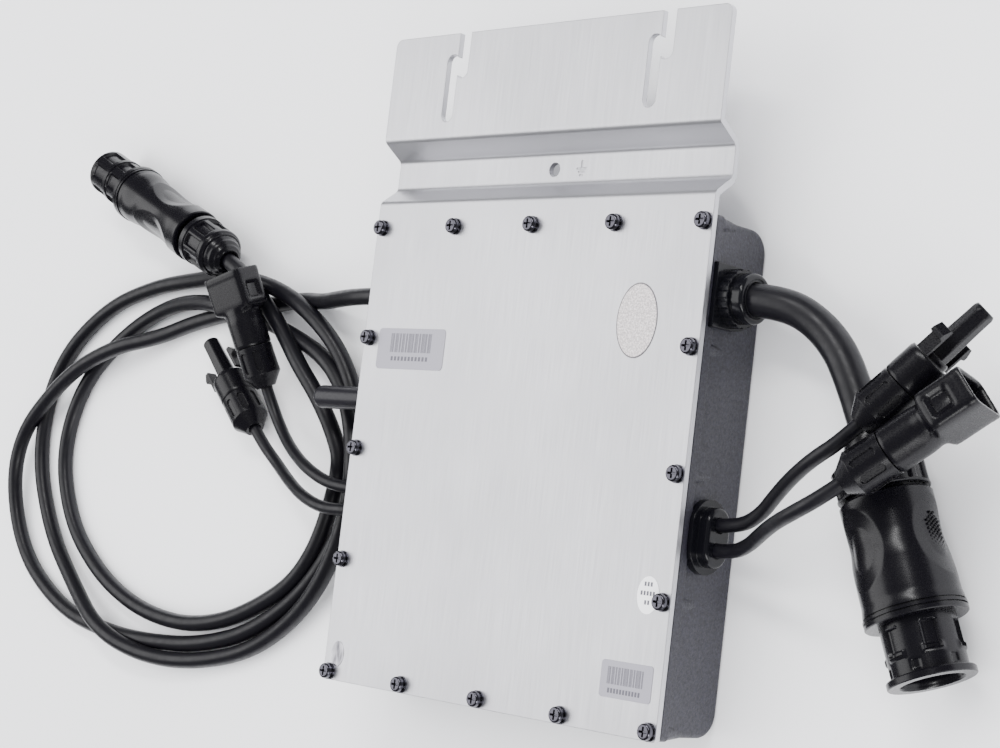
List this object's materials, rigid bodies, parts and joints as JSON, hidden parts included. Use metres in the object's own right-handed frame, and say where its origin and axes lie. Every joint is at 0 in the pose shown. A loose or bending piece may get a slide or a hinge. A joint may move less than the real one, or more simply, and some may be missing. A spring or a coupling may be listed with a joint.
{
  "type": "twin-input solar microinverter",
  "caption": "Flat black die-cast solar microinverter with an aluminium hanging plate, AC plug and socket cables and latching DC lead connectors.",
  "frame": {"origin": "middle of the case's flat back, which the inverter lies on", "axes": "+Z out of the back towards the hanging plate, +Y towards the plate's slotted flange, +X towards the outlet side with the thick AC cable"},
  "size_m": [0.7182, 0.3402, 0.0649],
  "materials": {
    "case_paint": "textured black powder coat",
    "plate_metal": "clear anodised sheet",
    "screw_steel": "bright stainless",
    "gasket_rubber": "satin",
    "gland_plastic": "satin black nylon",
    "seal_rubber": "satin",
    "cable_jacket": "satin",
    "dc_plastic": "fine spark-eroded black",
    "ac_plastic": "satin black nylon",
    "antenna_plastic": "satin black",
    "label_film": "satin printed film",
    "sticker_paper": "matt",
    "contact_metal": "tinned copper",
    "board_laminate": "solder resist",
    "ferrite": "matt sintered",
    "winding_tape": "polyester tape",
    "can_sleeve": "shrink sleeve",
    "film_box": "moulded box",
    "moulded_epoxy": "matt",
    "terminal_plastic": "satin"
  },
  "bodies": {
    "inverter": {"case_shell": "case_paint", "mounting_plate": "plate_metal", "case_gasket": "gasket_rubber", "cover_screws": "screw_steel", "screw_washers": "screw_steel", "earth_screw": "screw_steel", "serial_labels": "label_film", "oval_label": "label_film", "seal_stickers": "sticker_paper", "antenna_nut": "screw_steel", "antenna_stub": "antenna_plastic", "ac_outlet_gland_body": "gland_plastic", "ac_outlet_gland_nut": "gland_plastic", "ac_inlet_gland_body": "gland_plastic", "ac_inlet_gland_nut": "gland_plastic", "dc_outlet_gland": "gland_plastic", "dc_inlet_gland": "gland_plastic", "cable_seals": "seal_rubber", "main_board": "board_laminate", "board_screws": "screw_steel", "transformer_cores": "ferrite", "transformer_windings": "winding_tape", "electrolytic_capacitors": "can_sleeve", "film_capacitors": "film_box", "power_transistors": "moulded_epoxy", "grid_relays": "moulded_epoxy", "radio_module": "screw_steel", "wire_terminals": "terminal_plastic", "output_choke": "ferrite", "dc_contact_pins": "contact_metal", "dc_contact_tubes": "contact_metal", "ac_plug_body": "ac_plastic", "ac_plug_barrel": "ac_plastic", "ac_plug_pins": "contact_metal", "ac_socket_body": "ac_plastic", "ac_socket_barrel": "ac_plastic", "ac_socket_insert": "ac_plastic", "ac_outlet_cable": "cable_jacket", "dc_outlet_lead_a": "cable_jacket", "dc_outlet_lead_b": "cable_jacket", "dc_inlet_lead_a": "cable_jacket", "dc_inlet_lead_b": "cable_jacket", "ac_inlet_cable_start": "cable_jacket", "ac_inlet_cable_coil": "cable_jacket", "ac_inlet_cable_end": "cable_jacket", "dc_outlet_socket_housing": "dc_plastic", "dc_outlet_pin_housing": "dc_plastic", "dc_inlet_pin_housing": "dc_plastic", "dc_inlet_socket_housing": "dc_plastic"},
    "outlet_socket_nut": {"dc_outlet_socket_nut": "dc_plastic"},
    "outlet_pin_nut": {"dc_outlet_pin_nut": "dc_plastic"},
    "inlet_pin_nut": {"dc_inlet_pin_nut": "dc_plastic"},
    "inlet_socket_nut": {"dc_inlet_socket_nut": "dc_plastic"},
    "plug_nut": {"ac_plug_nut": "ac_plastic"},
    "outlet_plug_nut": {"ac_socket_nut": "ac_plastic"},
    "outlet_socket_finger_a": {"dc_outlet_socket_finger_a": "dc_plastic"},
    "outlet_socket_finger_b": {"dc_outlet_socket_finger_b": "dc_plastic"},
    "inlet_socket_finger_a": {"dc_inlet_socket_finger_a": "dc_plastic"},
    "inlet_socket_finger_b": {"dc_inlet_socket_finger_b": "dc_plastic"}
  },
  "joints": [
    {"name": "outlet_socket_nut_turn", "type": "hinge", "parent": "inverter", "child": "outlet_socket_nut", "pos_m": [0.20156, 0.03444, 0.04385], "axis": [-0.6302, -0.7366, 0.2455], "range_deg": [0, 360]},
    {"name": "outlet_pin_nut_turn", "type": "hinge", "parent": "inverter", "child": "outlet_pin_nut", "pos_m": [0.2041, 0.00843, 0.05385], "axis": [-0.7586, -0.6188, 0.2042], "range_deg": [0, 360]},
    {"name": "inlet_pin_nut_turn", "type": "hinge", "parent": "inverter", "child": "inlet_pin_nut", "pos_m": [-0.2128, 0.04131, 0.01985], "axis": [0.2665, -0.9088, -0.3211], "range_deg": [0, 360]},
    {"name": "inlet_socket_nut_turn", "type": "hinge", "parent": "inverter", "child": "inlet_socket_nut", "pos_m": [-0.22918, 0.01579, 0.011], "axis": [0.7148, -0.6993, 0], "range_deg": [0, 360]},
    {"name": "plug_nut_turn", "type": "hinge", "parent": "inverter", "child": "plug_nut", "pos_m": [-0.26103, 0.10422, 0.01999], "axis": [0.9189, -0.3929, 0.0338], "range_deg": [0, 360]},
    {"name": "outlet_plug_nut_turn", "type": "hinge", "parent": "inverter", "child": "outlet_plug_nut", "pos_m": [0.18606, 0.01438, 0.0214], "axis": [-0.3964, 0.9181, 0], "range_deg": [0, 360]},
    {"name": "outlet_socket_finger_a_flex", "type": "hinge", "parent": "inverter", "child": "outlet_socket_finger_a", "pos_m": [0.21648, 0.05187, 0.02731], "axis": [0.7599, -0.6501, 0], "range_deg": [0, 8], "stiffness_Nm_per_rad": 0.3},
    {"name": "outlet_socket_finger_b_flex", "type": "hinge", "parent": "inverter", "child": "outlet_socket_finger_b", "pos_m": [0.2198, 0.05575, 0.04748], "axis": [-0.7599, 0.6501, 0], "range_deg": [0, 8], "stiffness_Nm_per_rad": 0.3},
    {"name": "inlet_socket_finger_a_flex", "type": "hinge", "parent": "inverter", "child": "inlet_socket_finger_a", "pos_m": [-0.24071, 0.04162, 0.011], "axis": [0, 0, 1], "range_deg": [0, 8], "stiffness_Nm_per_rad": 0.3},
    {"name": "inlet_socket_finger_b_flex", "type": "hinge", "parent": "inverter", "child": "inlet_socket_finger_b", "pos_m": [-0.25525, 0.02675, 0.011], "axis": [0, 0, -1], "range_deg": [0, 8], "stiffness_Nm_per_rad": 0.3}
  ]
}
